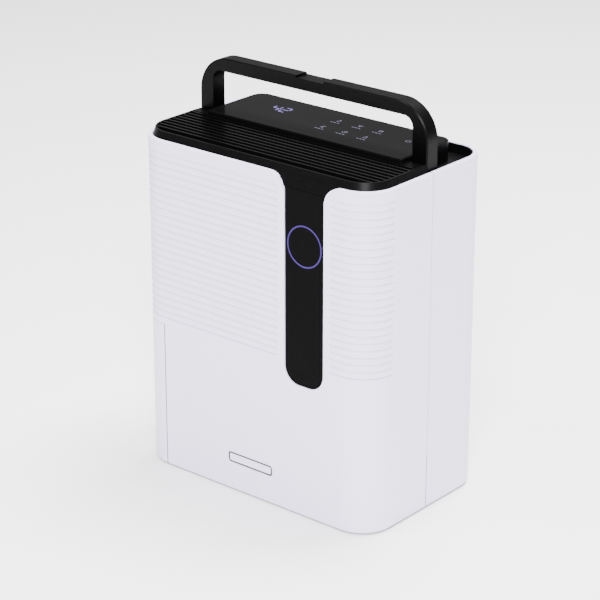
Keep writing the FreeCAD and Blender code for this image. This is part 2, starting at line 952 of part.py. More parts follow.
# ---------------------------------------------------------------- strip, ring and badge
def make_strip():
    face = dim.strip_recess - half_depth
    back = face + dim.strip_plate
    body = new_body("strip_body")
    sketch = new_sketch(body, "strip_outline", "XZ_Plane", -back)
    rounded_outline(
        sketch,
        strip_left + dim.part_gap,
        strip_right - dim.part_gap,
        dim.strip_bottom + dim.part_gap,
        strip_top,
        dim.strip_corner - dim.part_gap,
        as_size(0.6),
    )
    pad(body, sketch, dim.strip_plate)
    flange_front = dim.wall + 0.2 - half_depth
    flange = new_sketch(body, "strip_flange_outline", "XZ_Plane", -(flange_front + 1.4))
    rounded_outline(
        flange,
        strip_left - dim.strip_flange,
        strip_right + dim.strip_flange,
        dim.strip_bottom - dim.strip_flange,
        strip_top - 1,
        dim.strip_corner + dim.strip_flange,
        as_size(1),
    )
    pad(body, flange, as_size(1.4))
    groove_depth = 1.2
    groove_outer = rod(
        "ring_groove_outer",
        "y",
        (dim.strip_place, face - 1, dim.ring_height),
        dim.ring_radius + 0.05,
        groove_depth + 1,
    )
    groove_inner = rod(
        "ring_groove_inner",
        "y",
        (dim.strip_place, face - 2, dim.ring_height),
        dim.ring_radius - dim.ring_line - 0.05,
        groove_depth + 3,
    )
    groove = cut("ring_groove", groove_outer, groove_inner)
    node(cut("strip_shape", body, groove), "front_strip")
    outer = rod(
        "ring_outer",
        "y",
        (dim.strip_place, face - dim.ring_proud, dim.ring_height),
        dim.ring_radius,
        groove_depth + dim.ring_proud,
    )
    inner = rod(
        "ring_inner",
        "y",
        (dim.strip_place, face - 2, dim.ring_height),
        dim.ring_radius - dim.ring_line,
        groove_depth + 3,
    )
    node(cut("ring_shape", outer, inner), "led_ring")
    board_front = flange_front + 1.4 + 0.6
    board = block(
        "led_board_shape",
        (dim.strip_place - 24, board_front, dim.ring_height - 26),
        (dim.strip_place + 24, board_front + 1.6, dim.ring_height + 26),
    )
    node(board, "led_board")
    badge_back = dim.badge_thickness - half_depth
    node(badge_block("badge_body", as_size(0), 0.05 - half_depth, badge_back), "badge_plate")


make_strip()


# ---------------------------------------------------------------- handle
def make_handle():
    body = new_body("handle_body")
    low = pivot_z
    outer = new_sketch(body, "handle_outer", "XZ_Plane", -leg_rear)
    rounded_outline(
        outer, -handle_x, handle_x, low, handle_top, as_size(1.5), dim.handle_outer_corner
    )
    pad(body, outer, dim.handle_depth)
    gap = new_sketch(body, "handle_opening", "XZ_Plane", -leg_rear - 1)
    rounded_outline(
        gap, -handle_inner_x, handle_inner_x, low - 20, bar_low, as_size(1), dim.handle_inner_corner
    )
    pocket(body, gap, dim.handle_depth + 2, back=True)
    top = handle_top.value
    deepest = leg_front.value
    rearmost = leg_rear.value

    def is_outer_edge(box, edge):
        flat_end = abs(box.YMin - box.YMax) < 0.01 and (
            abs(box.YMin - deepest) < 0.01 or abs(box.YMin - rearmost) < 0.01
        )
        outside = max(abs(box.XMin), abs(box.XMax)) > handle_x.value - 0.01 or box.ZMax > top - 0.01
        return flat_end and outside and box.ZMax > low.value + 20

    soften(body, "Chamfer", "Size", as_size(1.2), is_outer_edge)
    notch = new_sketch(body, "handle_notch", "YZ_Plane", -dim.notch_width / 2)
    polygon(
        notch,
        [
            (leg_front - 2, handle_top - dim.notch_depth),
            (leg_rear + 2, handle_top - dim.notch_depth),
            (leg_rear + 2, handle_top + 3),
            (leg_front - 2, handle_top + 3),
        ],
    )
    pocket(body, notch, dim.notch_width, back=True)
    bosses = []
    holes = []
    bushes = []
    pins = []
    hole_radius = dim.pin_radius + dim.running_gap + dim.bush_wall
    hole_depth = 13
    for side, start in (("left", -handle_x), ("right", handle_inner_x)):
        bosses.append(rod(f"boss_{side}", "x", (start, pivot_y, pivot_z), dim.boss_radius, dim.handle_leg))
    hole_left = -handle_inner_x - hole_depth
    holes.append(rod("leg_hole_left", "x", (hole_left, pivot_y, pivot_z), hole_radius, hole_depth + 1))
    holes.append(
        rod("leg_hole_right", "x", (handle_inner_x - 1, pivot_y, pivot_z), hole_radius, hole_depth + 1)
    )
    node(cut("handle_shape", fuse("handle_whole", body, *bosses), *holes), "handle")
    for side, start in (("left", hole_left), ("right", handle_inner_x)):
        sleeve = rod(f"bush_{side}", "x", (start, pivot_y, pivot_z), hole_radius, hole_depth)
        bore = rod(
            f"bush_bore_{side}",
            "x",
            (start - 1, pivot_y, pivot_z),
            dim.pin_radius + dim.running_gap,
            hole_depth + 2,
        )
        bushes.append(cut(f"bush_shape_{side}", sleeve, bore))
    node(group("bush_set", bushes), "handle_bushes")
    reach = hole_depth - 0.8 + (panel_x - handle_inner_x) * -1
    pins.append(rod("pin_right", "x", (panel_x - 2.5, pivot_y, pivot_z), dim.pin_radius, reach + 2.5))
    pins.append(rod("pin_left", "x", (-panel_x - reach, pivot_y, pivot_z), dim.pin_radius, reach + 2.5))
    node(group("pin_set", pins), "handle_pins")


make_handle()


# ---------------------------------------------------------------- water tank
tank_x0 = dim.tank_side_gap - half_width
tank_x1 = tank_x0 + dim.tank_length
tank_y0 = dim.tank_front_gap - half_depth
tank_y1 = half_depth - dim.tank_rear_gap
tank_top = dim.tank_floor + dim.tank_height
float_x = tank_x1 - 30


def make_tank():
    body = slab(
        "tank_body",
        tank_x0,
        tank_x1,
        tank_y0,
        tank_y1,
        dim.tank_corner,
        as_size(14),
        dim.tank_floor,
        tank_top,
    )
    soften(body, "Fillet", "Radius", as_size(4), lambda box, edge: box.ZMax < dim.tank_floor.value + 0.01)
    inside = new_sketch(body, "tank_inside", "XY_Plane", tank_top)
    wall = dim.tank_wall
    rounded_outline(
        inside,
        tank_x0 + wall,
        tank_x1 - wall,
        tank_y0 + wall,
        tank_y1 - wall,
        dim.tank_corner - wall,
        14 - wall,
    )
    pocket(body, inside, dim.tank_height - wall - 0.6)
    links = []
    for index, z in enumerate((30, 126)):
        links.append(
            block(f"tank_link_{index}", (-inner_x, -24, z), (tank_x0 + 1, 24, z + 6))
        )
    posts = []
    post_z = tank_top - 30
    for index, y in enumerate((-14, 11)):
        post = block(
            f"float_post_{index}",
            (tank_x1 - wall - 11, y, post_z - 5),
            (tank_x1 - wall + 0.5, y + 3, post_z + 5),
        )
        posts.append(post)
    pin_hole = rod("float_pin_hole", "y", (tank_x1 - wall - 7, -15, post_z), as_size(1.5), 30)
    node(cut("tank_shape", fuse("tank_whole", body, *links, *posts), pin_hole), "water_tank")
    # float: an arm with a pivot pin, resting low in an empty tank
    arm = block(
        "float_arm_bar", (tank_x1 - wall - 34, -3, post_z - 2.5), (tank_x1 - wall - 4, 3, post_z + 2.5)
    )
    pivot = rod("float_pivot", "y", (tank_x1 - wall - 7, -14.2, post_z), 1.5 - dim.running_gap, 28.2)
    bulb = block(
        "float_bulb", (tank_x1 - wall - 58, -12, post_z - 9), (tank_x1 - wall - 33, 12, post_z + 7)
    )
    pocket_space = rod("magnet_pocket", "z", (tank_x1 - wall - 45.5, 0, post_z + 2), as_size(5), 8)
    node(cut("float_shape", fuse("float_whole", arm, pivot, bulb), pocket_space), "float_arm")
    magnet = rod("magnet_shape", "z", (tank_x1 - wall - 45.5, 0, post_z + 2), as_size(5), as_size(4.5))
    node(magnet, "float_magnet")
    # lid: a plate with a rim that drops inside the tank, and a hole for the drip
    lid_body = slab(
        "lid_body",
        tank_x0,
        tank_x1,
        tank_y0,
        tank_y1,
        dim.tank_corner,
        as_size(14),
        tank_top,
        tank_top + dim.tank_lid_height,
    )
    skirt_gap = wall + dim.part_gap
    skirt_outer = slab(
        "lid_skirt_outer",
        tank_x0 + skirt_gap,
        tank_x1 - skirt_gap,
        tank_y0 + skirt_gap,
        tank_y1 - skirt_gap,
        dim.tank_corner - skirt_gap,
        14 - skirt_gap,
        tank_top - 5,
        tank_top + 1,
    )
    skirt_inner = slab(
        "lid_skirt_inner",
        tank_x0 + skirt_gap + 1.6,
        tank_x1 - skirt_gap - 1.6,
        tank_y0 + skirt_gap + 1.6,
        tank_y1 - skirt_gap - 1.6,
        dim.tank_corner - skirt_gap - 1.6,
        14 - skirt_gap - 1.6,
        tank_top - 6,
        tank_top,
    )
    skirt = cut("lid_skirt", skirt_outer, skirt_inner)
    drip = rod("lid_drip_hole", "z", (drip_x, drip_y, tank_top - 1), as_size(14), 10)
    node(cut("lid_shape", fuse("lid_whole", lid_body, skirt), drip), "tank_lid")


drip_x = as_size(-60)
drip_y = tank_y1 - 24
make_tank()


# ---------------------------------------------------------------- air path
fan_x = -dim.fan_centre
fan_z = dim.fan_height
scroll_y0 = dim.scroll_front - half_depth
scroll_y1 = scroll_y0 + dim.scroll_width
wheel_y0 = scroll_y0 + dim.scroll_wall + 4
wheel_y1 = wheel_y0 + dim.wheel_width
coil_x0 = fan_x - dim.coil_length / 2
coil_x1 = fan_x + dim.coil_length / 2
evaporator_y1 = half_depth - dim.coil_rear_gap
evaporator_y0 = evaporator_y1 - dim.evaporator_depth
condenser_y1 = evaporator_y0 - dim.coil_gap
condenser_y0 = condenser_y1 - dim.condenser_depth
coil_top = dim.coil_low + dim.coil_height
chassis_y1 = condenser_y0 - 3
chassis_y0 = chassis_y1 - 1.2
motor_y1 = chassis_y0 - 2
motor_y0 = motor_y1 - dim.motor_length


def make_scroll():
    wall = dim.scroll_wall
    radius = dim.wheel_radius + dim.scroll_gap
    duct_x0 = fan_x - radius
    duct_x1 = fan_x + dim.wheel_radius
    duct_top = deck_low - 3
    outer_round = rod("scroll_round", "y", (fan_x, scroll_y0, fan_z), radius, dim.scroll_width)
    outer_duct = block("scroll_duct", (duct_x0, scroll_y0, fan_z), (duct_x1, scroll_y1, duct_top))
    inner_round = rod(
        "scroll_round_inside",
        "y",
        (fan_x, scroll_y0 + wall, fan_z),
        radius - wall,
        dim.scroll_width - 2 * wall,
    )
    inner_duct = block(
        "scroll_duct_inside",
        (duct_x0 + wall, scroll_y0 + wall, fan_z),
        (duct_x1 - wall, scroll_y1 - wall, duct_top + 5),
    )
    inlet = rod("scroll_inlet", "y", (fan_x, scroll_y1 - wall - 1, fan_z), dim.wheel_radius - 8, wall + 2)
    outer = fuse("scroll_outer", outer_round, outer_duct)
    node(cut("scroll_shape", outer, inner_round, inner_duct, inlet), "fan_scroll")


make_scroll()


def make_wheel():
    hub_length = 30
    disc = rod("wheel_disc", "y", (fan_x, wheel_y0, fan_z), dim.wheel_radius, 2)
    hub = rod("wheel_hub", "y", (fan_x, wheel_y0, fan_z), as_size(12), hub_length)
    ring_outer = rod("wheel_ring_outer", "y", (fan_x, wheel_y1 - 3, fan_z), dim.wheel_radius, 3)
    ring_inner = rod(
        "wheel_ring_inner", "y", (fan_x, wheel_y1 - 4, fan_z), dim.wheel_radius - dim.blade_depth, 5
    )
    ring = cut("wheel_ring", ring_outer, ring_inner)
    # one blade, then a full turn of them
    blade_body = new_body("blade_body")
    blade = new_sketch(blade_body, "blade_outline", "XZ_Plane", -wheel_y1 + 1)
    outer_r = dim.wheel_radius - 0.4
    inner_r = dim.wheel_radius - dim.blade_depth + 0.4
    polygon(
        blade,
        [
            (fan_x + inner_r, fan_z - 2.6),
            (fan_x + inner_r, fan_z - 1.2),
            (fan_x + outer_r, fan_z + 2.6),
            (fan_x + outer_r, fan_z + 1.2),
        ],
    )
    pad(blade_body, blade, dim.wheel_width - 2)
    doc.recompute()
    blades = doc.addObject("Part::Feature", "wheel_blades")
    centre = FreeCAD.Vector(fan_x.value, 0, fan_z.value)
    turned = []
    for index in range(COUNT["blade_count"]):
        copy = blade_body.Shape.copy()
        copy.rotate(centre, FreeCAD.Vector(0, 1, 0), index * 360 / COUNT["blade_count"])
        turned.append(copy)
    blades.Shape = Part.makeCompound(turned)
    shaft_hole = rod("wheel_bore", "y", (fan_x, wheel_y0 - 1, fan_z), dim.shaft_radius, hub_length + 5)
    node(cut("wheel_shape", fuse("wheel_whole", disc, hub, ring, blades), shaft_hole), "blower_wheel")
    shaft = rod("shaft_shape", "y", (fan_x, wheel_y0, fan_z), dim.shaft_radius, motor_y1 - 6 - wheel_y0)
    node(shaft, "motor_shaft")
    motor = rod("motor_can", "y", (fan_x, motor_y0, fan_z), dim.motor_radius, dim.motor_length)
    snout = rod("motor_snout", "y", (fan_x, motor_y0 - 4, fan_z), as_size(11), 5)
    bore = rod(
        "motor_bore",
        "y",
        (fan_x, motor_y0 - 5, fan_z),
        dim.shaft_radius + dim.running_gap,
        dim.motor_length,
    )
    node(cut("motor_shape", fuse("motor_whole", motor, snout), bore), "fan_motor")
    hub_plate = rod("bracket_hub", "y", (fan_x, motor_y1, fan_z), dim.motor_radius - 3, 2)
    arms = []
    orifice = dim.wheel_radius - 6
    for index, (dx, dz) in enumerate(((1, 0), (-1, 0), (0, 1))):
        reach = orifice + 10
        low = (
            fan_x - 5 if dx == 0 else (fan_x if dx > 0 else fan_x - reach),
            motor_y1,
            fan_z - 5 if dz == 0 else fan_z,
        )
        high = (
            fan_x + 5 if dx == 0 else (fan_x + reach if dx > 0 else fan_x),
            motor_y1 + 2,
            fan_z + 5 if dz == 0 else fan_z + reach,
        )
        arms.append(block(f"bracket_arm_{index}", low, high))
    node(fuse("bracket_shape", hub_plate, *arms), "motor_bracket")
    plate = block(
        "chassis_sheet", (coil_x0 - 4, chassis_y0, dim.coil_low - 2), (coil_x1 + 4, chassis_y1, coil_top + 2)
    )
    opening = rod("chassis_orifice", "y", (fan_x, chassis_y0 - 1, fan_z), orifice, 4)
    node(cut("chassis_shape", plate, opening), "chassis_plate")


make_wheel()


def make_coil(name, y0, y1, rows):
    """A finned block between end plates, with hairpin bends outside the right plate."""
    core = block(f"{name}_core_shape", (coil_x0, y0, dim.coil_low), (coil_x1, y1, coil_top))
    node(core, f"{name}_core")
    bends = []
    middle = ((y0 + y1) / 2).value
    step = (dim.coil_height.value - 30) / (rows - 1)
    for index in range(rows):
        z = dim.coil_low.value + 15 + index * step
        if index % 2:
            continue
        centre = FreeCAD.Vector(coil_x1.value, middle, z + step / 2)
        half = step / 2
        path = Part.Wire(
            Part.Arc(
                centre + FreeCAD.Vector(0, 0, half),
                centre + FreeCAD.Vector(half, 0, 0),
                centre - FreeCAD.Vector(0, 0, half),
            ).toShape()
        )
        section = Part.Wire(
            Part.Circle(
                centre + FreeCAD.Vector(0, 0, half), FreeCAD.Vector(1, 0, 0), dim.tube_radius.value
            ).toShape()
        )
        bends.append(path.makePipeShell([section], True, True))
    tubes = doc.addObject("Part::Feature", f"{name}_bends_shape")
    tubes.Shape = Part.makeCompound(bends)
    node(tubes, f"{name}_bends")


make_coil("evaporator", evaporator_y0, evaporator_y1, 8)
make_coil("condenser", condenser_y0, condenser_y1, 8)


def make_drain():
    pan_top = dim.coil_low - 0.5
    pan_low = pan_top - 12
    outer = block(
        "pan_outer", (coil_x0 - 6, chassis_y0 - 8, pan_low), (coil_x1 + 26, evaporator_y1 + 5, pan_top)
    )
    inner = block(
        "pan_inner",
        (coil_x0 - 4, chassis_y0 - 6, pan_low + 2),
        (coil_x1 + 24, evaporator_y1 + 3, pan_top + 2),
    )
    drip_out = rod("pan_outlet", "z", (drip_x, chassis_y0 + 2, pan_low - 2), as_size(5), 8)
    node(cut("pan_shape", outer, inner, drip_out), "drain_pan")
    # continuous-drain spout through the rear of the casing, closed by a plug
    length = 20
    start = half_depth - length - 2.4
    tube = rod("spout_tube", "y", (spout_x, start, dim.spout_height), dim.spout_radius, length)
    flange = rod(
        "spout_flange", "y", (spout_x, inner_y - 2.2, dim.spout_height), dim.spout_radius + 5, as_size(2.1)
    )
    bore = rod("spout_bore", "y", (spout_x, start - 1, dim.spout_height), dim.spout_radius - 2, length + 2)
    node(cut("spout_shape", fuse("spout_whole", tube, flange), bore), "drain_spout")
    stem = rod(
        "plug_stem",
        "y",
        (spout_x, half_depth - 15, dim.spout_height),
        dim.spout_radius - 2 - dim.running_gap,
        13,
    )
    head = rod("plug_head", "y", (spout_x, half_depth - 2.2, dim.spout_height), dim.spout_radius + 1.6, 2.2)
    scallops = []
    for side in (-1, 1):
        near = spout_x + side * 1.6
        outer_edge = spout_x + side * 7
        low_x, high_x = (outer_edge, near) if side < 0 else (near, outer_edge)
        scallops.append(
            block(
                f"plug_scallop_{side + 1}",
                (low_x, half_depth - 1.4, dim.spout_height - 4.5),
                (high_x, half_depth + 1, dim.spout_height + 4.5),
            )
        )
    node(cut("plug_shape", fuse("plug_whole", stem, head), *scallops), "drain_plug")
    gland = rod(
        "gland_barrel", "y", (gland_x, inner_y - 8, dim.gland_height), dim.gland_radius, dim.wall + 8
    )
    nut = rod("gland_nut", "y", (gland_x, inner_y - 5.2, dim.gland_height), dim.gland_radius + 3, as_size(5))
    hole = rod("gland_bore", "y", (gland_x, inner_y - 9, dim.gland_height), as_size(3.2), 30)
    node(cut("gland_shape", fuse("gland_whole", gland, nut), hole), "cord_gland")


make_drain()


def make_filter():
    """The pull-out air filter: a louvred frame that fills the intake window, and its mesh."""
    gap = dim.filter_gap
    x0 = fan_x - dim.window_width / 2 + gap
    x1 = fan_x + dim.window_width / 2 - gap
    z0 = dim.window_low + gap
    z1 = dim.window_low + dim.window_height - gap
    front = inner_y - 4
    outer = block("filter_outer", (x0, front, z0), (x1, half_depth, z1))
    hollow = block("filter_hollow", (x0 + 7, front - 1, z0 + 7), (x1 - 7, half_depth + 1, z1 - 7))
    louvres = []
    for index in range(15):
        z = z0 + 7 + 3.4 + index * ((z1 - z0 - 14) / 15)
        louvres.append(
            block(f"louvre_{index}", (x0 + 6, half_depth - 3.2, z), (x1 - 6, half_depth - 0.4, z + 3))
        )
    for index in range(3):
        x = x0 + (index + 1) * ((x1 - x0) / 4)
        louvres.append(
            block(
                f"louvre_post_{index}",
                (x - 1.5, half_depth - 4.2, z0 + 6),
                (x + 1.5, half_depth - 1, z1 - 6),
            )
        )
    grip = block(
        "filter_grip", (fan_x - 22, half_depth - 2.2, z1 - 5.5), (fan_x + 22, half_depth + 1, z1 - 1.5)
    )
    node(fuse("filter_frame_shape", cut("filter_ring", outer, hollow, grip), *louvres), "filter_frame")
    mesh = block("filter_mesh_shape", (x0 + 7, front, z0 + 7), (x1 - 7, front + 1, z1 - 7))
    node(mesh, "filter_mesh")


make_filter()


# ---------------------------------------------------------------- refrigeration and electrics
comp_x = half_width - dim.compressor_side_gap - dim.compressor_radius
comp_y = as_size(2)
comp_low = dim.tray_floor + dim.tray_thickness + 11


def make_compressor():
    can = new_body("compressor_body")
    profile = new_sketch(can, "compressor_profile", "XZ_Plane", 0)
    radius = dim.compressor_radius
    top = comp_low + dim.compressor_height
    polygon(
        profile,
        [
            (as_size(0), comp_low),
            (radius - 12, comp_low),
            (radius, comp_low + 12),
            (radius, top - 22),
            (radius - 14, top - 5),
            (as_size(0), top),
        ],
    )
    turn = can.newObject("PartDesign::Revolution", "compressor_turn")
    turn.Profile = profile
    turn.ReferenceAxis = (profile, ["V_Axis"])
    turn.Angle = 360
    tie(can, "Placement.Base.x", comp_x)
    tie(can, "Placement.Base.y", comp_y)
    reach = dim.compressor_radius + 1
    plate = slab(
        "compressor_plate",
        comp_x - reach,
        comp_x + reach,
        comp_y - reach,
        comp_y + reach,
        as_size(9),
        as_size(9),
        comp_low - 2,
        comp_low + 2,
    )
    pad_low = dim.tray_floor + dim.tray_thickness
    grommets = []
    for side in (-1, 1):
        for end in (-1, 1):
            spot = (comp_x + side * (reach - 10), comp_y + end * (reach - 10), pad_low)
            grommets.append(
                rod(f"grommet_{side + 1}_{end + 1}", "z", spot, as_size(7), comp_low - 2 - pad_low)
            )
    node(fuse("compressor_shape", can, plate), "compressor")
    node(group("grommet_set", grommets), "compressor_grommets")
    drum_y = comp_y + dim.compressor_radius + 22
    drum = rod("accumulator_shape", "z", (comp_x - 1, drum_y, comp_low + 30), as_size(15), 90)
    node(drum, "accumulator")
    return top, drum_y


comp_top, drum_y = make_compressor()


def make_pipes():
    bend = 12
    radius = dim.pipe_radius
    drum_x = comp_x - 1
    drum_top = comp_low + 120
    cond_middle = (condenser_y0 + condenser_y1) / 2
    coil_step = (dim.coil_height - 30) / 7
    suction_height = dim.coil_low + 15 + coil_step * 5.5
    discharge_height = dim.coil_low + 15 + coil_step * 1.5
    suction = pipe(
        "suction_shape",
        [
            (drum_x, drum_y, drum_top),
            (drum_x, drum_y, suction_height),
            (coil_x1 + 0.01, drum_y, suction_height),
        ],
        radius,
        bend,
    )
    node(suction, "suction_pipe")
    discharge = pipe(
        "discharge_shape",
        [
            (comp_x, comp_y, comp_top),
            (comp_x, comp_y, discharge_height),
            (comp_x, cond_middle, discharge_height),
            (coil_x1 + 0.01, cond_middle, discharge_height),
        ],
        radius,
        bend,
    )
    node(discharge, "discharge_pipe")


make_pipes()


def make_electrics():
    x0 = coil_x1 + 34
    x1 = inner_x - 16
    y0 = scroll_y0 + 4
    z0 = comp_top + 24
    z1 = deck_low - 8
    outer = block("box_outer", (x0, y0, z0), (x1, y0 + 34, z1))
    inner = block("box_inner", (x0 + 2, y0 + 2, z0 + 2), (x1 - 2, y0 + 36, z1 - 2))
    node(cut("box_shape", outer, inner), "control_box")
    board = block("board_shape", (x0 + 4, y0 + 12, z0 + 4), (x1 - 4, y0 + 13.6, z1 - 4))
    node(board, "control_board")
    capacitor_low = dim.tray_floor + dim.tray_thickness
    capacitor = rod(
        "capacitor_shape",
        "z",
        (comp_x + 24, comp_y - dim.compressor_radius - 21, capacitor_low),
        as_size(16),
        62,
    )
    node(capacitor, "run_capacitor")
    kerb_x = -half_width + dim.tank_side_gap + dim.tank_length + 3
    switch = block("switch_shape", (kerb_x + 2.4, -30, 60), (kerb_x + 10, -6, 74))
    post = block(
        "switch_post", (kerb_x + 2.4, -26, dim.tray_floor + dim.tray_thickness), (kerb_x + 6.4, -10, 60)
    )
    node(fuse("switch_whole", switch, post), "tank_switch")


make_electrics()


def make_screws():
    deck_screws = []
    for index, (x, y) in enumerate(deck_screw_places()):
        shank = rod(
            f"deck_shank_{index}", "z", (x, y, deck_low - 2), dim.screw_radius, recess_floor - deck_low + 2
        )
        head = rod(f"deck_head_{index}", "z", (x, y, recess_floor), dim.screw_head, as_size(0.7))
        deck_screws.append(fuse(f"deck_screw_{index}", shank, head))
    node(group("deck_screw_set", deck_screws), "deck_screws")


make_screws()


# ---------------------------------------------------------------- check and write
doc.recompute()
faults = []
for thing in doc.Objects:
    if "Invalid" in thing.State or "Error" in thing.State:
        faults.append(f"{thing.Name} ({thing.Label}) is {thing.State}")
for thing in doc.Objects:
    if thing.TypeId in ("PartDesign::Pocket", "PartDesign::Groove") and thing.BaseFeature:
        if thing.Shape.Volume > thing.BaseFeature.Shape.Volume - 1:
            faults.append(f"{thing.Name} cuts nothing")
for thing in nodes:
    if thing.Shape.isNull() or not thing.Shape.isValid():
        faults.append(f"{thing.Label} has no valid shape")
    elif not thing.Shape.Solids:
        faults.append(f"{thing.Label} has no solid")
labels = [thing.Label for thing in nodes]
if len(set(labels)) != len(labels):
    faults.append("two pieces share a label")
if faults:
    raise RuntimeError("; ".join(faults))

os.makedirs("parts", exist_ok=True)
for thing in nodes:
    thing.Shape.exportStep(f"parts/{thing.Label}.step")
print(f"{len(nodes)} pieces written")
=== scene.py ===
import json
import math

import bpy
import numpy as np
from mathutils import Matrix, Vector


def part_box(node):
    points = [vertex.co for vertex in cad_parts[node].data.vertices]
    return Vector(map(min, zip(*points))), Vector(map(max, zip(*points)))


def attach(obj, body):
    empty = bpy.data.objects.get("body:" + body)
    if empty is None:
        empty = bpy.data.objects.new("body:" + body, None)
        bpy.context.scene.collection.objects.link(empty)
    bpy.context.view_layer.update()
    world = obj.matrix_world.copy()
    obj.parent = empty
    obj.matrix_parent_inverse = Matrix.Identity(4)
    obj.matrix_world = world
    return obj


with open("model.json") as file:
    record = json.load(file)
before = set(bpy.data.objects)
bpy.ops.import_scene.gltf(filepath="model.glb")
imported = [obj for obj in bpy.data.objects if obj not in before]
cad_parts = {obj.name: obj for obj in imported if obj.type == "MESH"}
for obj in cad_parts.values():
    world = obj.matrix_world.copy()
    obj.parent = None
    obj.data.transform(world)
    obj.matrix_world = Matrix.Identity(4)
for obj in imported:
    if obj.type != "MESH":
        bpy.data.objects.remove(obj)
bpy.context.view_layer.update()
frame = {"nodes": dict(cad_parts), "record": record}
record = frame["record"]
print("frame loaded")

milli = 0.001


class Wire:
    # one shader socket that can be added, multiplied and compared like a number
    def __init__(self, tree, socket=None):
        self.tree = tree
        self.socket = socket

    def node(self, kind, inputs=(), output=0, **settings):
        made = self.tree.nodes.new("ShaderNode" + kind)
        for name, value in settings.items():
            setattr(made, name, value)
        pairs = inputs.items() if isinstance(inputs, dict) else enumerate(inputs)
        for key, value in pairs:
            if isinstance(value, Wire):
                self.tree.links.new(value.socket, made.inputs[key])
            else:
                made.inputs[key].default_value = value
        return Wire(self.tree, made.outputs[output])

    def calc(self, operation, *others):
        return self.node("Math", (self, *others), operation=operation)

    def __add__(self, other):
        return self.calc("ADD", other)

    def __radd__(self, other):
        return self.node("Math", (other, self), operation="ADD")

    def __sub__(self, other):
        return self.calc("SUBTRACT", other)

    def __rsub__(self, other):
        return self.node("Math", (other, self), operation="SUBTRACT")

    def __mul__(self, other):
        return self.calc("MULTIPLY", other)

    def __rmul__(self, other):
        return self.node("Math", (other, self), operation="MULTIPLY")

    def __truediv__(self, other):
        return self.calc("DIVIDE", other)

    def __rtruediv__(self, other):
        return self.node("Math", (other, self), operation="DIVIDE")

    def __gt__(self, other):
        return self.calc("GREATER_THAN", other)

    def __lt__(self, other):
        return self.calc("LESS_THAN", other)

    def __pow__(self, other):
        return self.calc("POWER", other)


def newFinish(name):
    # a material and its place in the row frame
    material = bpy.data.materials.new(name)
    material.use_nodes = True
    start = Wire(material.node_tree)
    place = start.node("TexCoord", output="Object")
    return material, place


def setFinish(material, **channels):
    principled = material.node_tree.nodes["Principled BSDF"]
    titles = {
        "baseColor": "Base Color",
        "roughness": "Roughness",
        "metallic": "Metallic",
        "coat": "Coat Weight",
        "coatRoughness": "Coat Roughness",
        "alpha": "Alpha",
        "glow": "Emission Color",
        "glowStrength": "Emission Strength",
        "specular": "Specular IOR Level",
        "normal": "Normal",
    }
    for name, value in channels.items():
        socket = principled.inputs[titles[name]]
        if isinstance(value, Wire):
            material.node_tree.links.new(value.socket, socket)
        elif isinstance(value, tuple):
            socket.default_value = (*value, 1.0)
        else:
            socket.default_value = value
    return material


def noise(place, scale, detail=2.0, rough=0.5):
    return place.node("TexNoise", {"Vector": place, "Scale": scale, "Detail": detail, "Roughness": rough})


def blend(place, share, low, high):
    # a colour between two colours by a share
    return place.node("Mix", {0: share, 6: (*low, 1.0), 7: (*high, 1.0)}, output=2, data_type="RGBA")


def overlay(place, share, under, color):
    # a finish's colour with a plain colour laid over it by a share
    return place.node("Mix", {0: share, 6: under, 7: (*color, 1.0)}, output=2, data_type="RGBA")


def bump(place, height, strength, distance):
    return place.node("Bump", {"Strength": strength, "Distance": distance, "Height": height})


def axisOf(place, index):
    return place.node("SeparateXYZ", [place], output=index)


moulding = {
    "mottleScale": 14.0,
    "broadScale": 55.0,
    "broadShare": 0.10,
    "fineShare": 0.08,
    "depth": 0.00025,
}


def mouldedSkin(place, roughness, grain, grainScale):
    # spark-eroded grain and faint flow mottling: the mottle, a sheen that varies a little, the
    # grain's normal
    mottle = noise(place, moulding["mottleScale"], 3.0)
    fine = noise(place, grainScale, 2.0, 0.6)
    broad = noise(place, moulding["broadScale"], 2.0)
    sheen = roughness + (broad - 0.5) * moulding["broadShare"] + (fine - 0.5) * moulding["fineShare"]
    return mottle, sheen, bump(place, fine, grain, moulding["depth"])


def mouldedFinish(name, low, high, roughness, grain=0.12, grainScale=1500.0, specular=0.5, coat=0.0):
    # injection-moulded plastic
    material, place = newFinish(name)
    mottle, sheen, normal = mouldedSkin(place, roughness, grain, grainScale)
    color = blend(place, mottle, low, high)
    setFinish(material, baseColor=color, roughness=sheen, normal=normal, specular=specular, coat=coat)
    return material


# rib layout on the front, with the tone and share of the painted shade laid into the creases between ribs
ribs = {
    "base": 0.168,
    "pitch": 0.0074,
    "count": 24,
    "stripLeft": 0.0378,
    "stripRight": 0.1033,
    "side": -0.058,
    "sharpness": 7.0,
    "paintedShadeTone": 0.62,
    "paintedShadeShare": 0.85,
}
# where the joint gaps lie, and the near-black colour painted into them as shade
slotShade = {
    "casePlace": 0.0008,
    "caseHalf": 0.00045,
    "tankWidth": 0.00095,
    "skin": 0.00005,
    "color": (0.012, 0.012, 0.014),
}


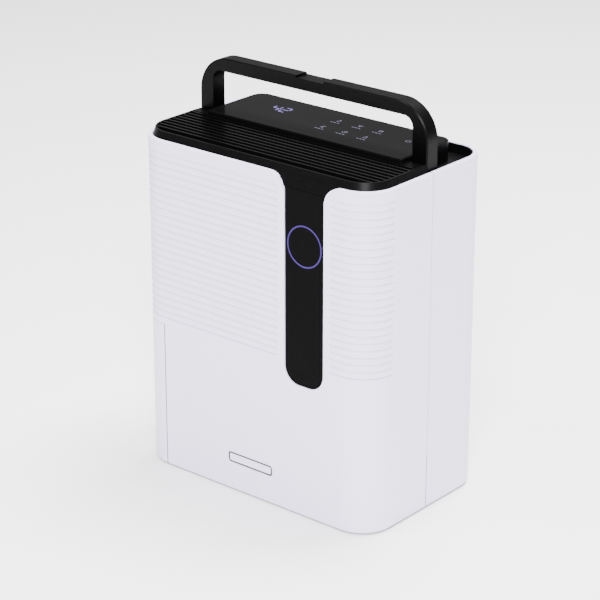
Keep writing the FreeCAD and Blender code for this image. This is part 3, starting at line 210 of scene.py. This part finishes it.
def ribbedFinish(name, low, high, roughness):
    # the white case: as moulded, with painted shade darkening the creases between the front's ribs and the
    # gaps of its joints
    material, place = newFinish(name)
    across, depth, height = (axisOf(place, index) for index in range(3))
    ribsTop = ribs["base"] + ribs["pitch"] * ribs["count"]
    phase = ((height - ribs["base"]) / ribs["pitch"]).calc("FRACT")
    creaseShadeMask = ((phase - 0.5).calc("ABSOLUTE") * 2.0) ** ribs["sharpness"]
    overStrip = (across > ribs["stripLeft"]) * (across < ribs["stripRight"])
    ribbed = (height > ribs["base"]) * (height < ribsTop) * (depth < ribs["side"]) * (1.0 - overStrip)
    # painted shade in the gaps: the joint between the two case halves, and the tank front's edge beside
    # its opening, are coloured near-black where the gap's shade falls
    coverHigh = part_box("tank_cover")[1]
    belowRibs = height < coverHigh.z + slotShade["tankWidth"]
    atJoint = (depth - slotShade["casePlace"]).calc("ABSOLUTE") < slotShade["caseHalf"]
    caseSlotShadeMask = atJoint * (1.0 - (across < 0.0) * belowRibs)
    besideTank = (across > coverHigh.x - slotShade["skin"]) * (across < coverHigh.x + slotShade["tankWidth"])
    tankSlotShadeMask = besideTank * belowRibs * (depth < coverHigh.y)
    mottle, sheen, normal = mouldedSkin(place, roughness, 0.10, 1500.0)
    # painted shade: the creases between ribs take a darker copy of the case colour, as if in shadow
    paintedCreaseColor = tuple(part * ribs["paintedShadeTone"] for part in low)
    caseColorWithPaintedShade = overlay(place, creaseShadeMask * ribbed * ribs["paintedShadeShare"], blend(place, mottle, low, high), paintedCreaseColor)
    # painted shade: the joint gaps are laid over with the near-black gap colour
    caseColorWithPaintedShade = overlay(place, caseSlotShadeMask.calc("MAXIMUM", tankSlotShadeMask), caseColorWithPaintedShade, slotShade["color"])
    setFinish(material, baseColor=caseColorWithPaintedShade, roughness=sheen, normal=normal, specular=0.45, coat=0.12)
    return material


polish = {"waveScale": 120.0, "smearStretch": (9.0, 9.0, 42.0), "smearMean": 0.45, "smearShare": 0.09}


def glossFinish(name, low, high, roughness, specular=0.5, coat=0.6):
    # polished plastic: a very slight orange-peel wave and a few wiped smears in the sheen
    material, place = newFinish(name)
    wave = noise(place, polish["waveScale"], 1.0)
    smear = noise(place.node("Mapping", {0: place, 3: polish["smearStretch"]}), 1.0, 4.0, 0.6)
    setFinish(
        material,
        baseColor=blend(place, smear, low, high),
        roughness=roughness + (smear - polish["smearMean"]) * polish["smearShare"],
        normal=bump(place, wave, 0.04, 0.0004),
        specular=specular,
        coat=coat,
        coatRoughness=0.06,
    )
    return material


tankWall = {"drawStretch": (420.0, 420.0, 3.0), "thinning": 0.8}


def clearFinish(name, color, alpha):
    # translucent tank wall: drawn a little denser near the floor, with fine draw lines up the wall
    material, place = newFinish(name)
    height = axisOf(place, 2)
    lines = noise(place.node("Mapping", {0: place, 3: tankWall["drawStretch"]}), 1.0, 1.0)
    setFinish(
        material,
        baseColor=color,
        roughness=0.12 + lines * 0.08,
        alpha=alpha - height * tankWall["thinning"],
        normal=bump(place, lines, 0.05, 0.0002),
        coat=0.3,
    )
    return material


def metalFinish(name, low, high, roughness, stretch=(30.0, 30.0, 900.0), grain=0.12):
    # drawn or rolled metal: long fine scratches along one direction over cloudy tone
    material, place = newFinish(name)
    scratches = noise(place.node("Mapping", {0: place, 3: stretch}), 1.0, 3.0, 0.7)
    cloud = noise(place, 60.0, 3.0)
    setFinish(
        material,
        baseColor=blend(place, cloud * 0.6 + scratches * 0.4, low, high),
        metallic=1.0,
        roughness=roughness + (scratches - 0.5) * 0.22,
        normal=bump(place, scratches, grain, 0.0001),
    )
    return material


def zincFinish(name):
    # hot-dip zinc: flat crystals of differing tone
    material, place = newFinish(name)
    cells = place.node("TexVoronoi", {"Vector": place, "Scale": 110.0}, output=1)
    tone = axisOf(cells, 0)
    setFinish(
        material,
        baseColor=blend(place, tone, (0.42, 0.44, 0.46), (0.70, 0.72, 0.74)),
        metallic=1.0,
        roughness=0.30 + tone * 0.22,
    )
    return material


fins = {"pitch": 0.0018, "edgeFrom": 0.25}


def finFinish(name):
    # stacked fins along X: the fin edges in their own bright aluminium, and painted shade making the gap
    # between fins dark, at every pitch
    material, place = newFinish(name)
    phase = (axisOf(place, 0) * (2 * math.pi / fins["pitch"])).calc("SINE")
    edge = phase > fins["edgeFrom"]
    # painted shade: the gaps between fins take the near-black colour
    setFinish(
        material,
        baseColor=blend(place, edge, (0.03, 0.032, 0.034), (0.72, 0.74, 0.76)),
        metallic=0.25 + edge * 0.7,
        roughness=0.34 + (1.0 - edge) * 0.3,
        normal=bump(place, phase, 0.7, 0.0006),
    )
    return material


def boardFinish(name):
    # solder mask with faint tracks under it
    material, place = newFinish(name)
    cell = place.node("TexVoronoi", {"Vector": place, "Scale": 190.0}, feature="DISTANCE_TO_EDGE")
    track = cell < 0.09
    setFinish(
        material,
        baseColor=blend(place, track, (0.010, 0.085, 0.038), (0.045, 0.21, 0.10)),
        roughness=0.30,
        normal=bump(place, track, 0.25, 0.0002),
    )
    return material


border = {"corner": 0.0035, "near": -0.0021, "far": -0.0004, "ink": (0.0, 0.0, 0.0)}


def plateFinish(name, low, high):
    # blank plate with a printed border: distance to a rounded rectangle picks out the line
    material, place = newFinish(name)
    lowCorner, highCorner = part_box("badge_plate")
    middle, half = (lowCorner + highCorner) / 2, (highCorner - lowCorner) / 2
    across = (axisOf(place, 0) - middle.x).calc("ABSOLUTE") - (half.x - border["corner"])
    above = (axisOf(place, 2) - middle.z).calc("ABSOLUTE") - (half.z - border["corner"])
    outX, outZ = across.calc("MAXIMUM", 0.0), above.calc("MAXIMUM", 0.0)
    inner = across.calc("MAXIMUM", above).calc("MINIMUM", 0.0)
    distance = (outX * outX + outZ * outZ) ** 0.5 + inner - border["corner"]
    line = (distance > border["near"]) * (distance < border["far"])
    smear = noise(place, 90.0, 3.0)
    color = overlay(place, line, blend(place, smear, low, high), border["ink"])
    setFinish(material, baseColor=color, roughness=0.34 + smear * 0.08, specular=0.2)
    return material


weave = {"pitch": 0.0015, "threadFrom": 0.72, "openAlpha": 0.75}


def weaveFinish(name):
    # plain-woven filter net: a thread at every pitch each way, half open between them
    material, place = newFinish(name)
    step = math.pi / weave["pitch"]
    warp = (axisOf(place, 0) * step).calc("SINE").calc("ABSOLUTE")
    weft = (axisOf(place, 2) * step).calc("SINE").calc("ABSOLUTE")
    thread = warp.calc("MAXIMUM", weft)
    setFinish(
        material,
        baseColor=blend(place, thread, (0.014, 0.014, 0.015), (0.045, 0.046, 0.048)),
        roughness=0.8,
        alpha=(thread > weave["threadFrom"]) * (1.0 - weave["openAlpha"]) + weave["openAlpha"],
        normal=bump(place, thread, 0.5, 0.0003),
    )
    return material


def glowFinish(name, glow, strength):
    # a lit print or light guide over a near-black ground
    material, place = newFinish(name)
    ground = (0.02, 0.015, 0.05)
    setFinish(material, baseColor=ground, glow=glow, glowStrength=strength, roughness=0.3, specular=0.1)
    return material


# the casing's white and the fittings' black, each from its darker to its lighter tone
caseWhite = ((0.690, 0.668, 0.860), (0.722, 0.700, 0.890))
fittingBlack = ((0.0012, 0.0012, 0.0013), (0.0022, 0.0022, 0.0023))
handleBlack = ((0.0006, 0.0006, 0.0007), (0.0012, 0.0012, 0.0013))
finishes = {
    "white_casing": ribbedFinish("whiteCasing", *caseWhite, 0.42),
    "black_plastic": mouldedFinish(
        "blackPlastic", (0.016, 0.016, 0.017), (0.024, 0.024, 0.025), 0.55, 0.2
    ),
    "deck_black": mouldedFinish("deckBlack", *fittingBlack, 0.36, 0.16, 1200.0, 0.07),
    "grille_black": mouldedFinish("grilleBlack", *fittingBlack, 0.30, 0.16, 1200.0, 0.14),
    "handle_black": mouldedFinish("handleBlack", *handleBlack, 0.34, 0.2, 1100.0, 0.055),
    "panel_gloss": glossFinish(
        "panelGloss", (0.0025, 0.0025, 0.0026), (0.004, 0.004, 0.0041), 0.17, 0.022, 0.0
    ),
    "strip_gloss": glossFinish(
        "stripGloss", (0.0009, 0.0009, 0.0009), (0.0016, 0.0016, 0.0016), 0.12, 0.02, 0.0
    ),
    "display": glossFinish("displayWindow", (0.02, 0.018, 0.03), (0.03, 0.026, 0.045), 0.1),
    "ring_light": glowFinish("ringLight", (0.075, 0.012, 0.42), 0.8),
    "badge": plateFinish("badgeBlank", (0.69, 0.668, 0.86), (0.72, 0.70, 0.89)),
    "rubber": mouldedFinish(
        "rubberFoot", (0.012, 0.012, 0.012), (0.022, 0.022, 0.022), 0.82, 0.35, 700.0, 0.2
    ),
    "tank_clear": clearFinish("tankClear", (0.50, 0.56, 0.63), 0.50),
    "lid_grey": mouldedFinish("lidGrey", (0.26, 0.27, 0.29), (0.31, 0.32, 0.34), 0.5),
    "float_white": mouldedFinish("floatWhite", (0.62, 0.62, 0.58), (0.70, 0.70, 0.66), 0.5),
    "magnet": metalFinish("magnetDark", (0.05, 0.05, 0.05), (0.09, 0.09, 0.09), 0.6),
    "bush_nylon": mouldedFinish("bushNylon", (0.50, 0.49, 0.44), (0.56, 0.55, 0.50), 0.45),
    "steel": metalFinish("steelGround", (0.46, 0.46, 0.46), (0.60, 0.60, 0.60), 0.26, (900.0, 30.0, 30.0)),
    "motor_steel": metalFinish(
        "motorSteel", (0.38, 0.38, 0.38), (0.52, 0.52, 0.53), 0.34, (30.0, 900.0, 30.0)
    ),
    "galvanised": zincFinish("galvanised"),
    "fins": finFinish("coilFins"),
    "copper": metalFinish(
        "copperTube", (0.62, 0.27, 0.15), (0.80, 0.42, 0.27), 0.30, (200.0, 200.0, 200.0)
    ),
    "duct_grey": mouldedFinish("ductGrey", (0.045, 0.045, 0.048), (0.062, 0.062, 0.065), 0.6, 0.2),
    "wheel_grey": mouldedFinish("wheelGrey", (0.028, 0.028, 0.030), (0.040, 0.040, 0.042), 0.5, 0.2),
    "plug_grey": mouldedFinish(
        "plugGrey", (0.035, 0.035, 0.037), (0.048, 0.048, 0.050), 0.75, 0.3, 800.0, 0.2
    ),
    "mesh_grey": weaveFinish("filterWeave"),
    "compressor_black": mouldedFinish(
        "compressorPaint", (0.008, 0.008, 0.008), (0.014, 0.014, 0.014), 0.28, 0.3, 260.0, 0.5, 0.3
    ),
    "circuit_board": boardFinish("circuitBoard"),
    "capacitor": metalFinish(
        "capacitorCan", (0.55, 0.56, 0.57), (0.70, 0.71, 0.72), 0.35, (30.0, 30.0, 700.0)
    ),
    "screw_black": metalFinish("screwBlack", (0.03, 0.03, 0.03), (0.06, 0.06, 0.06), 0.4),
}
for part in record["subparts"]:
    shown = frame["nodes"][part["node"]]
    shown.data.materials.clear()
    shown.data.materials.append(finishes[part["material_slot"]])
print("finishes set on", len(record["subparts"]), "nodes")


def surfaceObject(name, grids, material):
    # joins point grids (rows, columns, xyz) into one mesh, each grid wound in steps of one row
    # and one column
    points, faces, first = [], [], 0
    for grid in grids:
        rows, columns = grid.shape[:2]
        index = first + np.arange(rows * columns).reshape(rows, columns)
        quads = np.stack([index[:-1, :-1], index[1:, :-1], index[1:, 1:], index[:-1, 1:]], axis=-1)
        faces.append(quads.reshape(-1, 4))
        points.append(grid.reshape(-1, 3))
        first += rows * columns
    mesh = bpy.data.meshes.new(name)
    mesh.from_pydata(np.vstack(points).tolist(), [], np.vstack(faces).tolist())
    mesh.materials.append(material)
    made = bpy.data.objects.new(name, mesh)
    bpy.context.scene.collection.objects.link(made)
    return made


def addSurface(name, grids, body, material):
    made = surfaceObject(name, grids, material)
    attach(made, body)


def ribbon(path, width, height):
    # a flat stripe along an open path on the panel: each point moved half the width to both sides
    along = np.gradient(path, axis=0)
    across = np.stack([-along[:, 1], along[:, 0]], axis=1)
    across /= np.linalg.norm(across, axis=1, keepdims=True)
    left, right = path + across * width / 2, path - across * width / 2
    flat = np.stack([left, right], axis=1)
    return np.concatenate([flat, np.full(flat.shape[:2] + (1,), height)], axis=2) * milli


def arcPath(centre, radius, startTurn, endTurn, count=40):
    # points at centre plus radius times (cos, sin) of a turn in degrees
    turn = np.radians(np.linspace(startTurn, endTurn, count))
    return np.stack([centre[0] + radius * np.cos(turn), centre[1] + radius * np.sin(turn)], axis=1)


def linePath(start, end):
    share = np.linspace(0.0, 1.0, 3)[:, None]
    return np.array(start) * (1 - share) + np.array(end) * share


# digits and touch icons printed under the panel glass, lit from below
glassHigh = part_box("panel_glass")[1]
printing = {
    "height": glassHigh.z / milli + 0.06,
    "digitWidth": 8.2,
    "digitHeight": 13.5,
    "digitStroke": 1.9,
    "digitStep": 12.2,
    "digitsX": -79.0,
    "digitsY": 29.0,
    "slant": 0.07,
    "iconStroke": 0.55,
    "iconRadius": 2.7,
    "topRow": 42.5,
    "lowRow": 17.5,
    "columns": (3.0, 30.0, 56.0),
    "captionDrop": 6.8,
    "captionStroke": 1.0,
    "captionDashes": ((-4.6, 2.6), (-0.6, 3.4), (3.6, 2.6)),
    "powerPlace": (96.0, 34.5),
    "segmentInset": 0.75,
    "reading": ("four", "two"),
}
segments = {
    "top": ((0.0, 1.0), (1.0, 1.0)),
    "upperLeft": ((0.0, 1.0), (0.0, 0.5)),
    "upperRight": ((1.0, 1.0), (1.0, 0.5)),
    "middle": ((0.0, 0.5), (1.0, 0.5)),
    "lowerLeft": ((0.0, 0.5), (0.0, 0.0)),
    "lowerRight": ((1.0, 0.5), (1.0, 0.0)),
    "bottom": ((0.0, 0.0), (1.0, 0.0)),
}
litSegments = {
    "four": ("upperLeft", "upperRight", "middle", "lowerRight"),
    "two": ("top", "upperRight", "middle", "lowerLeft", "bottom"),
}


def digitGrids(digit, leftX):
    # a seven-segment digit, each bar shortened a little at both ends, leaned by the slant
    size = np.array([printing["digitWidth"], printing["digitHeight"]])
    grids = []
    for segment in litSegments[digit]:
        start, end = (np.array(point) * size for point in segments[segment])
        reach = (end - start) / np.linalg.norm(end - start) * printing["segmentInset"]
        path = linePath(start + reach, end - reach)
        path = path + np.array([leftX, printing["digitsY"]])
        path[:, 0] += (path[:, 1] - printing["digitsY"]) * printing["slant"]
        grids.append(ribbon(path, printing["digitStroke"], printing["height"]))
    return grids


digitsGlow = glowFinish("digitsGlow", (0.42, 0.34, 0.80), 0.75)
iconGlow = glowFinish("iconGlow", (0.55, 0.54, 0.62), 0.62)
readingGrids = []
for place, digit in enumerate(printing["reading"]):
    readingGrids += digitGrids(digit, printing["digitsX"] + printing["digitStep"] * place)
addSurface("displayDigits", readingGrids, "main", digitsGlow)


def iconPaths(kind, x, y, size):
    # simple generic signs made of arcs and lines
    if kind == "power":
        return [arcPath((x, y), size, 120, 420), linePath((x, y + size * 0.25), (x, y + size * 1.15))]
    if kind == "timer":
        hands = [linePath((x, y), (x, y + size * 0.6)), linePath((x, y), (x + size * 0.5, y))]
        return [arcPath((x, y), size, 0, 360), *hands]
    if kind == "air":
        rise = np.linspace(-1.0, 1.0, 30)
        waves = []
        for level in (-0.6, 0.0, 0.6):
            waves.append(
                np.stack([x + rise * size, y + level * size + np.sin(rise * 5.0) * size * 0.2], axis=1)
            )
        return waves
    if kind == "night":
        return [arcPath((x, y), size, 60, 300), arcPath((x + size * 0.55, y), size * 0.88, 100, 260)]
    if kind == "drop":
        turn = np.linspace(0.0, 2 * math.pi, 50)
        pull = 0.5 + 0.5 * np.sin(turn)
        sideways = x + size * 0.85 * np.cos(turn) * (1 - pull * 0.75)
        upward = y - size * 0.2 + size * (np.sin(turn) * 0.9 + pull**3 * 0.5)
        return [np.stack([sideways, upward], axis=1)]
    blades = [arcPath((x, y), size, turn, turn + 60) for turn in (0, 120, 240)]
    return [arcPath((x, y), size * 0.45, 0, 360), *blades]


iconGrids = []
layout = [
    ("drop", printing["columns"][0], printing["topRow"]),
    ("fan", printing["columns"][1], printing["topRow"]),
    ("air", printing["columns"][2], printing["topRow"]),
    ("night", printing["columns"][0], printing["lowRow"]),
    ("timer", printing["columns"][1], printing["lowRow"]),
    ("drop", printing["columns"][2], printing["lowRow"]),
    ("power", *printing["powerPlace"]),
]
for kind, x, y in layout:
    for path in iconPaths(kind, x, y, printing["iconRadius"]):
        iconGrids.append(ribbon(path, printing["iconStroke"], printing["height"]))
    if kind != "power":
        captionY = y - printing["captionDrop"]
        for offset, length in printing["captionDashes"]:
            dash = linePath((x + offset - length / 2, captionY), (x + offset + length / 2, captionY))
            iconGrids.append(ribbon(dash, printing["captionStroke"], printing["height"]))
addSurface("panelIcons", iconGrids, "main", iconGlow)
print("panel printing made")

# floor: a wide pale sheet at the height of the feet
floorReach = 14.0
side = np.linspace(-floorReach, floorReach, 3)
floorX, floorY = np.meshgrid(side, side, indexing="ij")
floorGrid = np.stack([floorX, floorY, np.zeros_like(floorX)], axis=2)
floorMaterial = newFinish("paleFloor")[0]
setFinish(floorMaterial, baseColor=(0.97, 0.97, 0.97), roughness=0.8, specular=0.1)
floor = surfaceObject("floor", [floorGrid], floorMaterial)

# studio: a pale world that brightens upward, and three large soft lamps
studio = {"tint": (1.0, 0.995, 1.0, 1.0), "horizon": 0.34, "rise": 0.92, "aim": (0.0, 0.0, 0.2)}
world = bpy.data.worlds.new("studio")
bpy.context.scene.world = world
world.use_nodes = True
sky = Wire(world.node_tree)
skyRise = axisOf(sky.node("TexCoord", output="Generated"), 2)
skyHeight = skyRise.calc("MAXIMUM", 0.0)
background = world.node_tree.nodes["Background"]
background.inputs[0].default_value = studio["tint"]
brightness = studio["horizon"] + skyHeight * studio["rise"]
world.node_tree.links.new(brightness.socket, background.inputs[1])
lamps = {
    "keyLamp": {"at": (-0.9, -1.5, 2.9), "size": 0.8, "power": 60.0},
    "fillLamp": {"at": (1.6, -2.1, 1.9), "size": 1.0, "power": 215.0},
    "topLamp": {"at": (0.2, 0.8, 2.6), "size": 1.4, "power": 210.0},
}
for name, lamp in lamps.items():
    light = bpy.data.lights.new(name, "AREA")
    light.shape = "SQUARE"
    light.size = lamp["size"]
    light.energy = lamp["power"]
    lampObject = bpy.data.objects.new(name, light)
    lampObject.location = lamp["at"]
    aim = Vector(studio["aim"]) - lampObject.location
    lampObject.rotation_euler = aim.to_track_quat("-Z", "Y").to_euler()
    bpy.context.scene.collection.objects.link(lampObject)

# camera: front and right end from above, as in the photograph
shot = {"at": (1.34211, -1.61395, 1.03696), "yaw": 40.0157, "pitch": 22.0098, "lens": 133.16}
yaw, pitch = math.radians(shot["yaw"]), math.radians(shot["pitch"])
forward = Vector((-math.sin(yaw) * math.cos(pitch), math.cos(yaw) * math.cos(pitch), -math.sin(pitch)))
cameraData = bpy.data.cameras.new("camera")
cameraData.lens = shot["lens"]
cameraData.sensor_width = 36.0
cameraData.clip_start, cameraData.clip_end = 0.05, 60.0
camera = bpy.data.objects.new("camera", cameraData)
camera.location = shot["at"]
camera.rotation_mode = "QUATERNION"
camera.rotation_quaternion = forward.to_track_quat("-Z", "Y")
bpy.context.scene.collection.objects.link(camera)
bpy.context.scene.camera = camera
print("studio and camera set")
